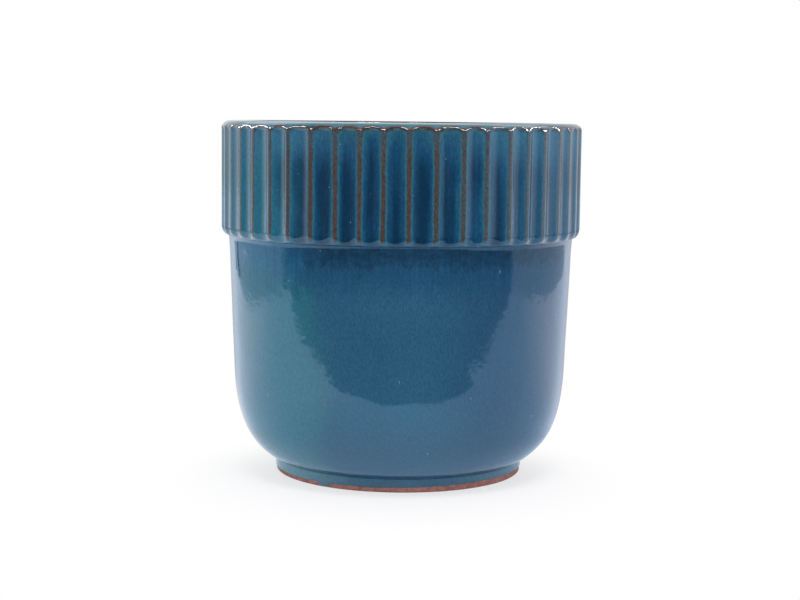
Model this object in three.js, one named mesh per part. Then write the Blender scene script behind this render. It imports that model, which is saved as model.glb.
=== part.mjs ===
// Ceramic flower pot: a thrown cup on a turned foot, with a thick fluted collar round its rim.
// Millimetres, +Z up. The origin is on the table, under the middle of the pot, and -Y is its front.
import * as THREE from "three";

// Driving dimensions of the glazed outside
const potHeight = 175.5; // table to the top of the lip
const bodyRadius = 86.2; // just under the collar
const wallLean = 2.7; // how much narrower the wall is where the haunch begins
const waistHeight = 52; // height where the haunch begins
const haunchRise = THREE.MathUtils.degToRad(31.2); // the haunch leaves the foot this far above level
const haunchFootPull = 14.8; // how far the haunch keeps its direction at the foot
const haunchWallPull = 28; // and at the wall
const footRadius = 62.4;
const footHeight = 6.4;

// Driving dimensions of the collar and its lip
const collarHeight = 56.7; // top of the lip to the collar's lower edge
const collarProjection = 3.9; // how far the ridges stand out from the body
const collarRoundHeight = 7; // height of the collar's rounded lower edge
const lipRound = 4.2; // radius of the lip's outer edge
const archDrop = 1.9; // top of the lip to the tops of the flutes
const archRise = 1.7; // height of the arch that ends each flute
const fluteCount = 47;
const fluteDepth = 1.5;
const ridgeWidth = 2.6; // between two flutes
const firstRidge = THREE.MathUtils.degToRad(-156.2); // angle of one ridge from +X

// Driving dimensions of the clay
const wallThickness = 6; // measured level
const baseThickness = 7.7;
const footWidth = 8; // of the standing ring
const footChamfer = 0.5; // at its standing edge
const bareEdge = 2.1; // height of the foot that no glaze covers
const discLedge = 1.6; // how far the base disc reaches over the foot ring
const bowlFloorPull = 14; // how far the hollow keeps level at the floor
const bowlWallPull = 22; // and upright at the wall

// Glaze coats and clearances
const bodyCoat = 0.5; // on the body, the foot and the inside
const edgeCoat = 0.3; // on the ridges and the lip, where the glaze runs thin
const poolCoat = 0.8; // in the bottom of the flutes, where it gathers
const bondGap = 0.05; // between a coat and the clay that it covers
const slipGap = 0.3; // between clay pieces that stand side by side

// Fineness of the round forms
const roundSteps = 44;
const haunchSteps = 5;
const bowlSteps = 4;
const lipSteps = 2;
const acrossFlute = [-1, -0.5, 0, 0.5, 1]; // from one side of a flute to the other
const upArch = [0, 0.75, 1]; // from the foot of a flute's arch to its top
const archEnds = [0, 1];

// Places worked out from the sizes above
const quarterTurn = Math.PI / 2;
const collarBase = potHeight - collarHeight;
const archTop = potHeight - archDrop;
const ridgeRadius = bodyRadius + collarProjection;
const lipCentreRadius = ridgeRadius - lipRound;
const lipCentreHeight = potHeight - lipRound;
const clayCoat = bodyCoat + bondGap;
const wallOuterRadius = bodyRadius - clayCoat;
const mouthRadius = wallOuterRadius - wallThickness - clayCoat;
const footInnerRadius = footRadius - footWidth;
const footClayRadius = footRadius - clayCoat;
const discRadius = footInnerRadius + discLedge;
const floorHeight = footHeight + baseThickness;

const point = (radius, height) => new THREE.Vector2(radius, height);

// Moves an outline level, towards the axis.
const inwards = (outline, distance) => outline.map((p) => point(p.x - distance, p.y));

// Turns an outline round the Z axis. A closed outline goes round its section anticlockwise.
function revolve(outline, closed = true) {
  const profile = closed ? [...outline, outline[0]] : outline;
  return new THREE.LatheGeometry(profile, roundSteps).rotateX(quarterTurn);
}

// The glazed outside of the body, from the foot up to the collar.
function bodyOutline() {
  const foot = point(footRadius, footHeight);
  const waist = point(bodyRadius - wallLean, waistHeight);
  const shoulder = point(bodyRadius, collarBase);
  const wallDirection = shoulder.clone().sub(waist).normalize();
  const footPull = point(Math.cos(haunchRise), Math.sin(haunchRise)).multiplyScalar(haunchFootPull);
  const haunch = new THREE.CubicBezierCurve(
    foot,
    foot.clone().add(footPull),
    waist.clone().addScaledVector(wallDirection, -haunchWallPull),
    waist,
  );
  return [...haunch.getPoints(haunchSteps), shoulder];
}

// The hollow's outline in the clay, from the floor up to the lip.
function hollowOutline() {
  const floor = point(discRadius, floorHeight);
  const waist = point(mouthRadius + clayCoat - wallLean, waistHeight);
  const shoulder = point(mouthRadius + clayCoat, collarBase);
  const wallDirection = shoulder.clone().sub(waist).normalize();
  const bowl = new THREE.CubicBezierCurve(
    floor,
    point(discRadius + bowlFloorPull, floorHeight),
    waist.clone().addScaledVector(wallDirection, -bowlWallPull),
    waist,
  );
  return [...bowl.getPoints(bowlSteps), shoulder, point(shoulder.x, archTop)];
}

// The lip's outline at a depth under its glaze, from its outer edge over the top to its inner edge.
function lipOutline(depth) {
  const outerRadius = lipRound - depth;
  const start = Math.asin((archTop - lipCentreHeight) / outerRadius);
  const innerRadius = archDrop - depth;
  const outline = [];
  for (let step = 0; step <= lipSteps; step++) {
    const turn = start + ((quarterTurn - start) * step) / lipSteps;
    const radius = lipCentreRadius + outerRadius * Math.cos(turn);
    outline.push(point(radius, lipCentreHeight + outerRadius * Math.sin(turn)));
  }
  for (let step = 0; step <= lipSteps; step++) {
    const turn = (quarterTurn * step) / lipSteps;
    const radius = mouthRadius + archDrop - innerRadius * Math.sin(turn);
    outline.push(point(radius, archTop + innerRadius * Math.cos(turn)));
  }
  outline[0].y = archTop;
  outline.at(-1).y = archTop;
  return outline;
}

// Points round the collar: each flute is stepped across, and the step to the next flute is a ridge.
function flutePoints() {
  const pitch = (2 * Math.PI) / fluteCount;
  const halfWidth = (pitch - ridgeWidth / ridgeRadius) / 2;
  const points = [];
  for (let flute = 0; flute < fluteCount; flute++) {
    const middle = firstRidge + (flute + 0.5) * pitch;
    for (const across of acrossFlute) {
      points.push({ angle: middle + across * halfWidth, hollow: 1 - across * across });
    }
  }
  return points;
}

// Rings up the collar at a depth under its glaze. Each has a height, the radius over its ridges and
// the depth of its flutes at a point, by how hollow the flute is there (0 at a ridge, 1 in the middle).
function collarRings(underRidge, underPool, upwards) {
  const deepest = fluteDepth + underPool - underRidge;
  const rings = [];
  for (const turn of [0, quarterTurn / 2, quarterTurn]) {
    rings.push({
      height: collarBase + collarRoundHeight * (1 - Math.cos(turn)) + underRidge * Math.cos(turn),
      ridge: bodyRadius + (collarProjection - underRidge) * Math.sin(turn),
      depth: (hollow) => deepest * hollow * Math.sin(turn),
    });
  }
  for (const risen of upwards) {
    const height = archTop - archRise * (1 - risen);
    const aboveCentre = Math.max(0, height - lipCentreHeight);
    rings.push({
      height,
      ridge: lipCentreRadius + Math.sqrt(lipRound ** 2 - aboveCentre ** 2) - underRidge,
      depth: (hollow) => deepest * Math.max(0, hollow - risen),
    });
  }
  return rings;
}

// A ring with no flutes.
const plainRing = (radius, height) => ({ height, ridge: radius, depth: () => 0 });

// A closed solid through a loop of rings. Each quad is split from its lower ring's point to its upper
// ring's next one, whichever way the loop runs, so two skins on the same rings have the same facets.
function loft(rings) {
  const points = flutePoints();
  const positions = rings.flatMap((ring) =>
    points.flatMap(({ angle, hollow }) => {
      const radius = ring.ridge - ring.depth(hollow);
      return [radius * Math.cos(angle), radius * Math.sin(angle), ring.height];
    }),
  );
  const index = [];
  rings.forEach((ring, r) => {
    const nextRing = (r + 1) % rings.length;
    const rising = rings[nextRing].height >= ring.height;
    points.forEach((_, p) => {
      const nextPoint = (p + 1) % points.length;
      const here = r * points.length + p;
      const beside = r * points.length + nextPoint;
      const above = nextRing * points.length + p;
      const across = nextRing * points.length + nextPoint;
      if (rising) index.push(here, beside, across, here, across, above);
      else index.push(here, beside, above, beside, across, above);
    });
  });
  return new THREE.BufferGeometry()
    .setAttribute("position", new THREE.Float32BufferAttribute(positions, 3))
    .setIndex(index);
}

const clay = () => new THREE.MeshStandardMaterial({ color: 0x8a4a32, roughness: 0.8, metalness: 0 });

const glaze = (color) => new THREE.MeshStandardMaterial({ color, roughness: 0.12, metalness: 0 });

function footRing() {
  return revolve([
    point(footInnerRadius, 0),
    point(footClayRadius - footChamfer, 0),
    point(footClayRadius, footChamfer),
    point(footClayRadius, footHeight),
    point(footInnerRadius, footHeight),
  ]);
}

function baseDisc() {
  const underside = [point(0, footHeight), point(discRadius, footHeight)];
  const floor = [point(discRadius, floorHeight), point(0, floorHeight)];
  return revolve([...underside, ...floor], false);
}

function bodyWall() {
  const innerFoot = discRadius + slipGap;
  const [floorEdge, ...hollow] = hollowOutline();
  return revolve([
    point(innerFoot, footHeight),
    ...inwards(bodyOutline(), clayCoat),
    point(wallOuterRadius, archTop),
    ...hollow.reverse(),
    point(innerFoot, floorEdge.y),
  ]);
}

function collarBand() {
  const rings = collarRings(edgeCoat + bondGap, poolCoat + bondGap, archEnds);
  const innerRadius = wallOuterRadius + slipGap;
  return loft([...rings, plainRing(innerRadius, archTop), plainRing(innerRadius, rings[0].height)]);
}

function rimLip() {
  return revolve(lipOutline(edgeCoat + bondGap));
}

function footGlaze() {
  const inner = footRadius - bodyCoat;
  return revolve([
    point(inner, bareEdge),
    point(footRadius, bareEdge),
    point(footRadius, footHeight),
    point(inner, footHeight),
  ]);
}

function bodyGlaze() {
  const outside = bodyOutline();
  return revolve([...outside, ...inwards(outside, bodyCoat).reverse()]);
}

function collarGlaze() {
  const outside = collarRings(0, 0, upArch);
  const underside = collarRings(edgeCoat, poolCoat, archEnds);
  return loft([...outside, ...underside.reverse()]);
}

function lipGlaze() {
  return revolve([...lipOutline(0), ...lipOutline(edgeCoat).reverse()]);
}

function linerGlaze() {
  const underside = [point(0, floorHeight), ...inwards(hollowOutline(), bondGap)];
  const [floorEdge, ...wall] = inwards(hollowOutline(), clayCoat);
  const floorTop = floorHeight + bodyCoat;
  const floor = [point(floorEdge.x, floorTop), point(0, floorTop)];
  return revolve([...underside, ...wall.reverse(), ...floor], false);
}

const pot = new THREE.Group();

function add(name, geometry, material) {
  const mesh = new THREE.Mesh(geometry, material);
  mesh.name = name;
  pot.add(mesh);
}

add("foot_ring", footRing(), clay());
add("base_disc", baseDisc(), clay());
add("body_wall", bodyWall(), clay());
add("collar_band", collarBand(), clay());
add("rim_lip", rimLip(), clay());
add("foot_glaze", footGlaze(), glaze(0x1c5a68));
add("body_glaze", bodyGlaze(), glaze(0x1f5574));
add("collar_glaze", collarGlaze(), glaze(0x1d5470));
add("lip_glaze", lipGlaze(), glaze(0x2a6480));
add("liner_glaze", linerGlaze(), glaze(0x1d4d62));

export default pot;
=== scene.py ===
import math
import random

import bmesh
import bpy
from mathutils import Matrix, Vector, noise
from mathutils.geometry import interpolate_bezier


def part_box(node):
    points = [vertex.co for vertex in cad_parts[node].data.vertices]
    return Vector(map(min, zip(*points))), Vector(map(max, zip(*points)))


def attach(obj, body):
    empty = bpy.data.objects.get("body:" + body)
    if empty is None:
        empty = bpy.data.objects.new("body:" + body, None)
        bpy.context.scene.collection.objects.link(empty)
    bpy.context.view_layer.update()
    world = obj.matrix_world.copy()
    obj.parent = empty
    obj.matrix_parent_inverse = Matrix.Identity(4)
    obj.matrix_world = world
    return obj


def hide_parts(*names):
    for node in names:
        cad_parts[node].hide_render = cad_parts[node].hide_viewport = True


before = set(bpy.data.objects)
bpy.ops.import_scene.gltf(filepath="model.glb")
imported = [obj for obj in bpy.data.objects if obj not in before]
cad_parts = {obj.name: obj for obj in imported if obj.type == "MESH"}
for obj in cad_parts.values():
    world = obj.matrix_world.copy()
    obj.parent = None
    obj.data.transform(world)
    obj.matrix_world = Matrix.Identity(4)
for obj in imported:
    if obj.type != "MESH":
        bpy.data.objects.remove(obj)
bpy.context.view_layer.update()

bl_info = {
    "name": "Fluted Flower Pot",
    "version": (1, 0, 0),
    "blender": (4, 5, 0),
    "location": "View3D > Sidebar > Pot",
    "description": "A glazed ceramic flower pot with a fluted collar, and a plain studio round it",
    "category": "Add Mesh",
}

AXIS = (0.0, 0.0, 1.0)
ORIGIN = (0.0, 0.0, 0.0)
WHITE = (1.0, 1.0, 1.0)
FULL_TURN = 2 * math.pi
QUARTER_TURN = math.pi / 2
MILLIMETRE = 0.001
MERGE_DISTANCE = 1e-6
SHARP_ANGLE = math.radians(50)  # from which an edge is shaded sharp
SHOWN, PLAIN = 1, 2  # marks for the sides of a turned mesh, whose other vertices have 0
BODY_COAT = 0.0005  # glaze on the body, the foot and the inside
EDGE_COAT = 0.0003  # glaze on the ridges and the lip
POOL_COAT = 0.0008  # glaze in the bottom of the flutes
BOND_GAP = 0.00005  # between a coat and the clay under it
SLIP_GAP = 0.0003  # between clay pieces that stand side by side
FILLET_HEIGHT = 0.0020  # of the glaze that fills the corner under the collar
FILLET_REACH = 0.00036  # how far that glaze stands out
BOX_MARGIN = 0.00007  # keeps the glaze just inside the pot's box
SEAM_RISE = 0.0010  # from the collar's top to the outer edge of the lip's coat
SEAM_TURN = 0.01  # angle between an edge of the lip and the first point of its rounding
DIP_ANGLE = math.radians(-105)  # of the lip's lowest place, from the X axis
LIP_GLAZE = 0.34  # how thick the glaze lies on the lip, where 1 is pooled in a flute


def low(node):
    """Lowest corner of a node of the frame."""
    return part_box(node)[0]


def high(node):
    """Highest corner of a node of the frame."""
    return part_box(node)[1]


def length(name, description, default):
    """A property for a length in metres."""
    return bpy.props.FloatProperty(
        name=name, description=description, default=default, min=0.0, unit="LENGTH", precision=4
    )


def angle_size(name, description, degrees):
    """A property for an angle, whose default is given in degrees."""
    return bpy.props.FloatProperty(
        name=name, description=description, default=math.radians(degrees), subtype="ANGLE"
    )


def colour(name, description, default):
    """A property for a colour, as linear red, green and blue."""
    return bpy.props.FloatVectorProperty(
        name=name, description=description, default=default, size=3, min=0.0, max=1.0, subtype="COLOR"
    )


class PotSizes(bpy.types.PropertyGroup):
    """Sizes of the thrown body and its foot."""

    pot_height: length("Pot height", "Table to the top of the lip", high("lip_glaze").z)
    body_radius: length("Body radius", "Glazed outside under the collar", high("body_glaze").x)
    wall_lean: length("Wall lean", "How much narrower the wall is at the waist", 0.0027)
    waist_height: length("Waist height", "Where the haunch begins", 0.052)
    haunch_foot_pull: length("Haunch foot pull", "How far the haunch keeps its foot direction", 0.0148)
    haunch_wall_pull: length("Haunch wall pull", "How far the haunch keeps the wall's direction", 0.028)
    haunch_rise: angle_size("Haunch rise", "Angle above level at which the haunch leaves the foot", 31.2)
    foot_radius: length("Foot radius", "Glazed outside of the foot", high("foot_glaze").x)
    foot_height: length("Foot height", "Table to the crease above the foot", low("body_glaze").z)
    foot_width: length("Foot width", "Width of the standing ring", 0.008)
    bare_edge: length("Bare edge", "Height of the foot that no glaze covers", low("foot_glaze").z)
    disc_radius: length("Disc radius", "Radius of the base disc", high("base_disc").x)
    floor_height: length("Floor height", "Table to the clay floor inside", high("base_disc").z)
    mouth_radius: length("Mouth radius", "Glazed inside of the rim", high("liner_glaze").x - BODY_COAT)
    bowl_floor_pull: length("Bowl floor pull", "How far the hollow keeps level at its floor", 0.014)
    bowl_wall_pull: length("Bowl wall pull", "How far the hollow keeps upright at its wall", 0.022)


class FluteSizes(bpy.types.PropertyGroup):
    """Sizes of the fluted collar and its lip."""

    collar_base: length("Collar base", "Height of the collar's lower edge", low("collar_glaze").z)
    collar_top: length("Collar top", "Height where the lip begins", high("collar_glaze").z)
    lip_seam: length("Lip seam", "Height of the lip coat's outer edge", high("collar_glaze").z + SEAM_RISE)
    ridge_radius: length(
        "Ridge radius",
        "Radius over the ridges",
        min(high("collar_glaze").x, high("collar_glaze").y) - BOX_MARGIN,
    )
    round_height: length("Round height", "Height of the collar's rounded lower edge", 0.005)
    lip_round: length("Lip round", "Radius of the lip's outer edge", 0.0042)
    lip_inner_round: length("Lip inner round", "Radius of the lip's inner edge", 0.0008)
    lip_dip: length("Lip dip", "How much lower the lip is at the front left", 0.0002)
    flute_count: bpy.props.IntProperty(
        name="Flutes", description="Number of flutes round the collar", default=47, min=8
    )
    flute_depth: length("Flute depth", "Depth of a flute in its middle", 0.0015)
    ridge_width: length("Ridge width", "Width of the ridge between two flutes", 0.0026)
    arch_drop: length("Arch drop", "Collar top to the crown of an arch at the front", 0.0003)
    arch_tilt: length("Arch tilt", "How much higher the arches stand on the right", 0.00045)
    arch_rise: length("Arch rise", "Height of the arch that ends a flute", 0.0014)
    ridge_corner: length("Ridge corner", "Height of the ridges' corner above the lip's centre", 0.0009)
    scoop_height: length("Scoop height", "Height over which an arch reaches the flute's depth", 0.0024)
    bead: length("Bead", "How far the edge of an arch stands out", 0.00018)
    first_ridge: angle_size("First ridge", "Angle of one ridge from the X axis", -156.2)


class GlazeColours(bpy.types.PropertyGroup):
    """Colours of the clay and of the glaze where it is thin, thick or pooled. Some of them also hold
    painted light, painted shade and painted reflections, as their comments say.
    """

    broken: colour("Broken", "Clay that shows where the glaze breaks on an edge", (0.070, 0.047, 0.042))
    veiled: colour("Veiled", "Clay seen through a thin film of glaze", (0.046, 0.060, 0.074))
    # On the ridges at the pot's left and right sides this is a painted reflection; on the ridges' tops it
    # is a real film of glaze
    film: colour("Film", "Clay under the film on the ridges' tops and sides", (0.058, 0.080, 0.102))
    fringe: colour("Fringe", "Thin glaze beside a ridge", (0.027, 0.134, 0.188))
    channel: colour("Channel", "Glaze on the side of a flute", (0.006, 0.062, 0.145))
    pool: colour("Pool", "Deep glaze in the middle of a flute", (0.002, 0.031, 0.076))
    # On the collar this teal is also painted light, laid more strongly on the left flutes where more light
    # falls
    collar_teal: colour("Collar teal", "The collar's greener side", (0.020, 0.152, 0.232))
    # Partly thin glaze at the flutes' tops and partly painted light, as it is laid only on the pot's left
    # and right sides
    collar_light: colour("Collar light", "Thin glaze at the tops of the side flutes", (0.042, 0.150, 0.255))
    body_blue: colour("Body blue", "Dark clouds of the body glaze", (0.020, 0.086, 0.168))
    body_light: colour("Body light", "Pale clouds of the body glaze", (0.030, 0.120, 0.212))
    body_teal: colour("Body teal", "The greener side of the pot", (0.024, 0.148, 0.222))
    body_violet: colour("Body violet", "The less green right side of the pot", (0.019, 0.070, 0.150))
    body_green: colour("Body green", "Green patches between the teal and the blue", (0.028, 0.148, 0.180))
    upper_blue: colour("Upper blue", "The greener side, close under the collar", (0.021, 0.145, 0.290))
    deep_blue: colour("Deep blue", "Glaze that ran down below the navy band", (0.010, 0.066, 0.150))
    # Under the collar this is partly gathered glaze and partly painted shade beneath the collar's overhang;
    # the hairline uses it as a dark run
    navy: colour("Navy", "Glaze gathered under the collar", (0.0080, 0.044, 0.096))
    foot_teal: colour("Foot teal", "Glaze on the foot", (0.024, 0.128, 0.202))
    # A painted reflection of the pale table, laid as a lighter colour on the sides of the foot
    foot_painted_reflection: colour("Foot pale", "Thin glaze on the sides of the foot", (0.12, 0.29, 0.36))
    liner_blue: colour("Liner blue", "Glaze inside the pot", (0.020, 0.085, 0.135))
    speck: colour("Speck", "Pale specks in the glaze", (0.16, 0.26, 0.31))
    clay: colour("Clay", "Bare fired clay", (0.50, 0.230, 0.195))
    clay_dark: colour("Clay dark", "Darker grain of the clay", (0.335, 0.146, 0.122))


# Soft steps between values


def blend(start, end, share):
    """The value at a share of the way from start to end."""
    return start + (end - start) * share


def smooth_step(low_end, high_end, value):
    """0 below the low end, 1 above the high end, and a soft rise between them."""
    share = min(max((value - low_end) / (high_end - low_end), 0.0), 1.0)
    return share * share * (3 - 2 * share)


def soft_floor(value, softness):
    """The value where it is positive and 0 where it is negative, rounded where the two meet."""
    if value >= softness:
        return value
    if value <= -softness:
        return 0.0
    return (value + softness) ** 2 / (4 * softness)


# Outlines, as lists of (radius, height) points


def bezier(start, start_pull, end_pull, end, steps):
    """Points along a curve from start to end, with the two ends' pulls."""
    knots = [Vector(point) for point in (start, start_pull, end_pull, end)]
    return [tuple(point) for point in interpolate_bezier(*knots, steps + 1)]


def straight(start, end, steps):
    """Points after start along a straight line to end."""
    first, last = Vector(start), Vector(end)
    return [tuple(first.lerp(last, step / steps)) for step in range(1, steps + 1)]


def arc(centre, radius, start, end, steps):
    """Points of a circle's arc between two angles."""
    turns = [blend(start, end, step / steps) for step in range(steps + 1)]
    return [(centre[0] + radius * math.cos(turn), centre[1] + radius * math.sin(turn)) for turn in turns]


def inwards(outline, distance):
    """The outline moved level towards the axis."""
    return [(radius - distance, height) for radius, height in outline]


def leaning_wall(waist, shoulder, pull):
    """The point that pulls a curve into the wall's direction below its waist."""
    lean = (Vector(shoulder) - Vector(waist)).normalized()
    return tuple(Vector(waist) - lean * pull)


def body_line(sizes, flutes, haunch_steps=36, wall_steps=26, filled=True):
    """The glazed outside of the body, from the foot up to the collar, with the filled corner there."""
    foot = (sizes.foot_radius, sizes.foot_height)
    waist = (sizes.body_radius - sizes.wall_lean, sizes.waist_height)
    shoulder = (sizes.body_radius, flutes.collar_base)
    rise = Vector((math.cos(sizes.haunch_rise), math.sin(sizes.haunch_rise)))
    foot_pull = tuple(Vector(foot) + rise * sizes.haunch_foot_pull)
    wall_pull = leaning_wall(waist, shoulder, sizes.haunch_wall_pull)
    haunch = bezier(foot, foot_pull, wall_pull, waist, haunch_steps)
    if not filled:
        return haunch + straight(waist, shoulder, wall_steps)
    below_fillet = tuple(Vector(shoulder).lerp(Vector(waist), FILLET_HEIGHT / (shoulder[1] - waist[1])))
    return haunch + straight(waist, below_fillet, wall_steps) + fillet(below_fillet, shoulder)


def fillet(start, end, steps=8):
    """Points after start where the glaze fills the corner under the collar, up to the wall's end."""
    points = []
    for step, (radius, height) in enumerate(straight(start, end, steps), 1):
        points.append((radius + FILLET_REACH * (step / steps) ** 2, height))
    return points


def under_body(sizes, flutes, depth):
    """The body's outline at a depth under its glaze, in the few steps that a hidden side needs."""
    return inwards(body_line(sizes, flutes, haunch_steps=18, wall_steps=4, filled=False), depth)


def hollow_line(sizes, flutes, bowl_steps=30, wall_steps=60):
    """The glazed inside, from the edge of the floor up to the lip."""
    floor = (sizes.disc_radius - BODY_COAT - BOND_GAP, sizes.floor_height + BODY_COAT)
    waist = (sizes.mouth_radius - sizes.wall_lean, sizes.waist_height)
    shoulder = (sizes.mouth_radius, flutes.collar_base)
    floor_pull = (floor[0] + sizes.bowl_floor_pull, floor[1])
    wall_pull = leaning_wall(waist, shoulder, sizes.bowl_wall_pull)
    bowl = bezier(floor, floor_pull, wall_pull, waist, bowl_steps)
    wall = straight(waist, shoulder, wall_steps // 2)
    return bowl + wall + straight(shoulder, (sizes.mouth_radius, flutes.collar_top), wall_steps // 2)


def behind_hollow(sizes, flutes, depth):
    """The hollow's outline at a depth behind its glaze, in the few steps that a hidden side needs."""
    return inwards(hollow_line(sizes, flutes, bowl_steps=16, wall_steps=4), -depth)


def lip_centre(sizes, flutes):
    """Centre of the lip's outer rounding."""
    return flutes.ridge_radius - flutes.lip_round, sizes.pot_height - flutes.lip_round


def lip_line(sizes, flutes, depth, steps=14):
    """The lip at a depth under its glaze, from its outer edge over the top to its inner edge."""
    centre = lip_centre(sizes, flutes)
    outer = flutes.lip_round - depth
    start = math.asin((flutes.lip_seam - centre[1]) / outer)
    inner_round = flutes.lip_inner_round
    inner_centre = (sizes.mouth_radius + inner_round, sizes.pot_height - inner_round)
    outside = arc(centre, outer, start, start, 1)[:1]
    outside += arc(centre, outer, start + SEAM_TURN, QUARTER_TURN, steps)
    inside = arc(inner_centre, inner_round - depth, QUARTER_TURN, math.pi - SEAM_TURN, steps)
    return outside + inside + [(inner_centre[0] - inner_round + depth, flutes.collar_top)]


# Rows of the collar's outline: millimetres below an arch's edge, and shares of the way above it to the lip.
# The hidden side of a coat has the sparse ones.
BELOW_ARCH = (4.4, 3.6, 2.9, 2.3, 1.85, 1.5, 1.2, 0.95, 0.72, 0.52, 0.36, 0.23, 0.12, 0.05, 0.0)
ABOVE_ARCH = (0.06, 0.13, 0.22, 0.33, 0.46, 0.6, 0.74, 0.86, 0.95, 0.98, 1.0)
SPARSE_BELOW = (4.4, 2.3, 1.2, 0.52, 0.0)
SPARSE_ABOVE = (0.5, 1.0)


def level_edge(flutes):
    """Height of an arch's edge, halfway between its crown and its ends."""
    return flutes.collar_top - flutes.arch_drop - flutes.arch_rise / 2


def collar_line(sizes, flutes, depth, round_steps, wall_steps, below=SPARSE_BELOW, above=SPARSE_ABOVE):
    """The collar over its ridges at a depth under the glaze, from its lower edge to its top."""
    projection = flutes.ridge_radius - depth - sizes.body_radius
    edge = level_edge(flutes)
    outline = []
    for step in range(round_steps + 1):
        turn = QUARTER_TURN * step / round_steps
        height = flutes.collar_base + flutes.round_height * (1 - math.cos(turn)) + depth * math.cos(turn)
        outline.append((sizes.body_radius + projection * math.sin(turn), height))
    outline += straight(outline[-1], (outline[-1][0], edge - below[0] * MILLIMETRE), wall_steps)
    radius = outline[-1][0]
    outline += [(radius, edge - distance * MILLIMETRE) for distance in below[1:]]
    outline += [(radius, blend(edge, flutes.lip_seam, share)) for share in above]
    return outline


# Meshes


def turned(outline, closed=True, shown=0, plain=0, sectors=32, steps=8):
    """A mesh turned round the pot's axis. The outline's first points are marked as its shown side, and
    its last ones as a plain back."""
    mesh = bmesh.new()
    side = mesh.verts.layers.int.new("side")
    verts = [mesh.verts.new((radius, 0.0, height)) for radius, height in outline]
    for vert in verts[:shown]:
        vert[side] = SHOWN
    for vert in verts[len(verts) - plain :]:
        vert[side] = PLAIN
    following = verts[1:] + verts[:1] if closed else verts[1:]
    edges = [mesh.edges.new(pair) for pair in zip(verts, following)]
    sector = FULL_TURN / sectors
    bmesh.ops.spin(mesh, geom=verts + edges, axis=AXIS, cent=ORIGIN, angle=sector, steps=steps)
    bmesh.ops.spin(
        mesh,
        geom=mesh.verts[:] + mesh.edges[:] + mesh.faces[:],
        axis=AXIS,
        cent=ORIGIN,
        angle=FULL_TURN - sector,
        steps=sectors - 1,
        use_duplicate=True,
    )
    bmesh.ops.remove_doubles(mesh, verts=mesh.verts, dist=MERGE_DISTANCE)
    bmesh.ops.recalc_face_normals(mesh, faces=mesh.faces)
    return mesh


def dip_lip(mesh, sizes, flutes):
    """Lets the lip sag a little at the front left, as on a pot finished by hand."""
    for vert in mesh.verts:
        share = max(0.0, vert.co.z - flutes.lip_seam) / (sizes.pot_height - flutes.lip_seam)
        turn = math.atan2(vert.co.y, vert.co.x) - DIP_ANGLE
        vert.co.z -= flutes.lip_dip * share * max(0.0, math.cos(turn)) ** 2


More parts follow.
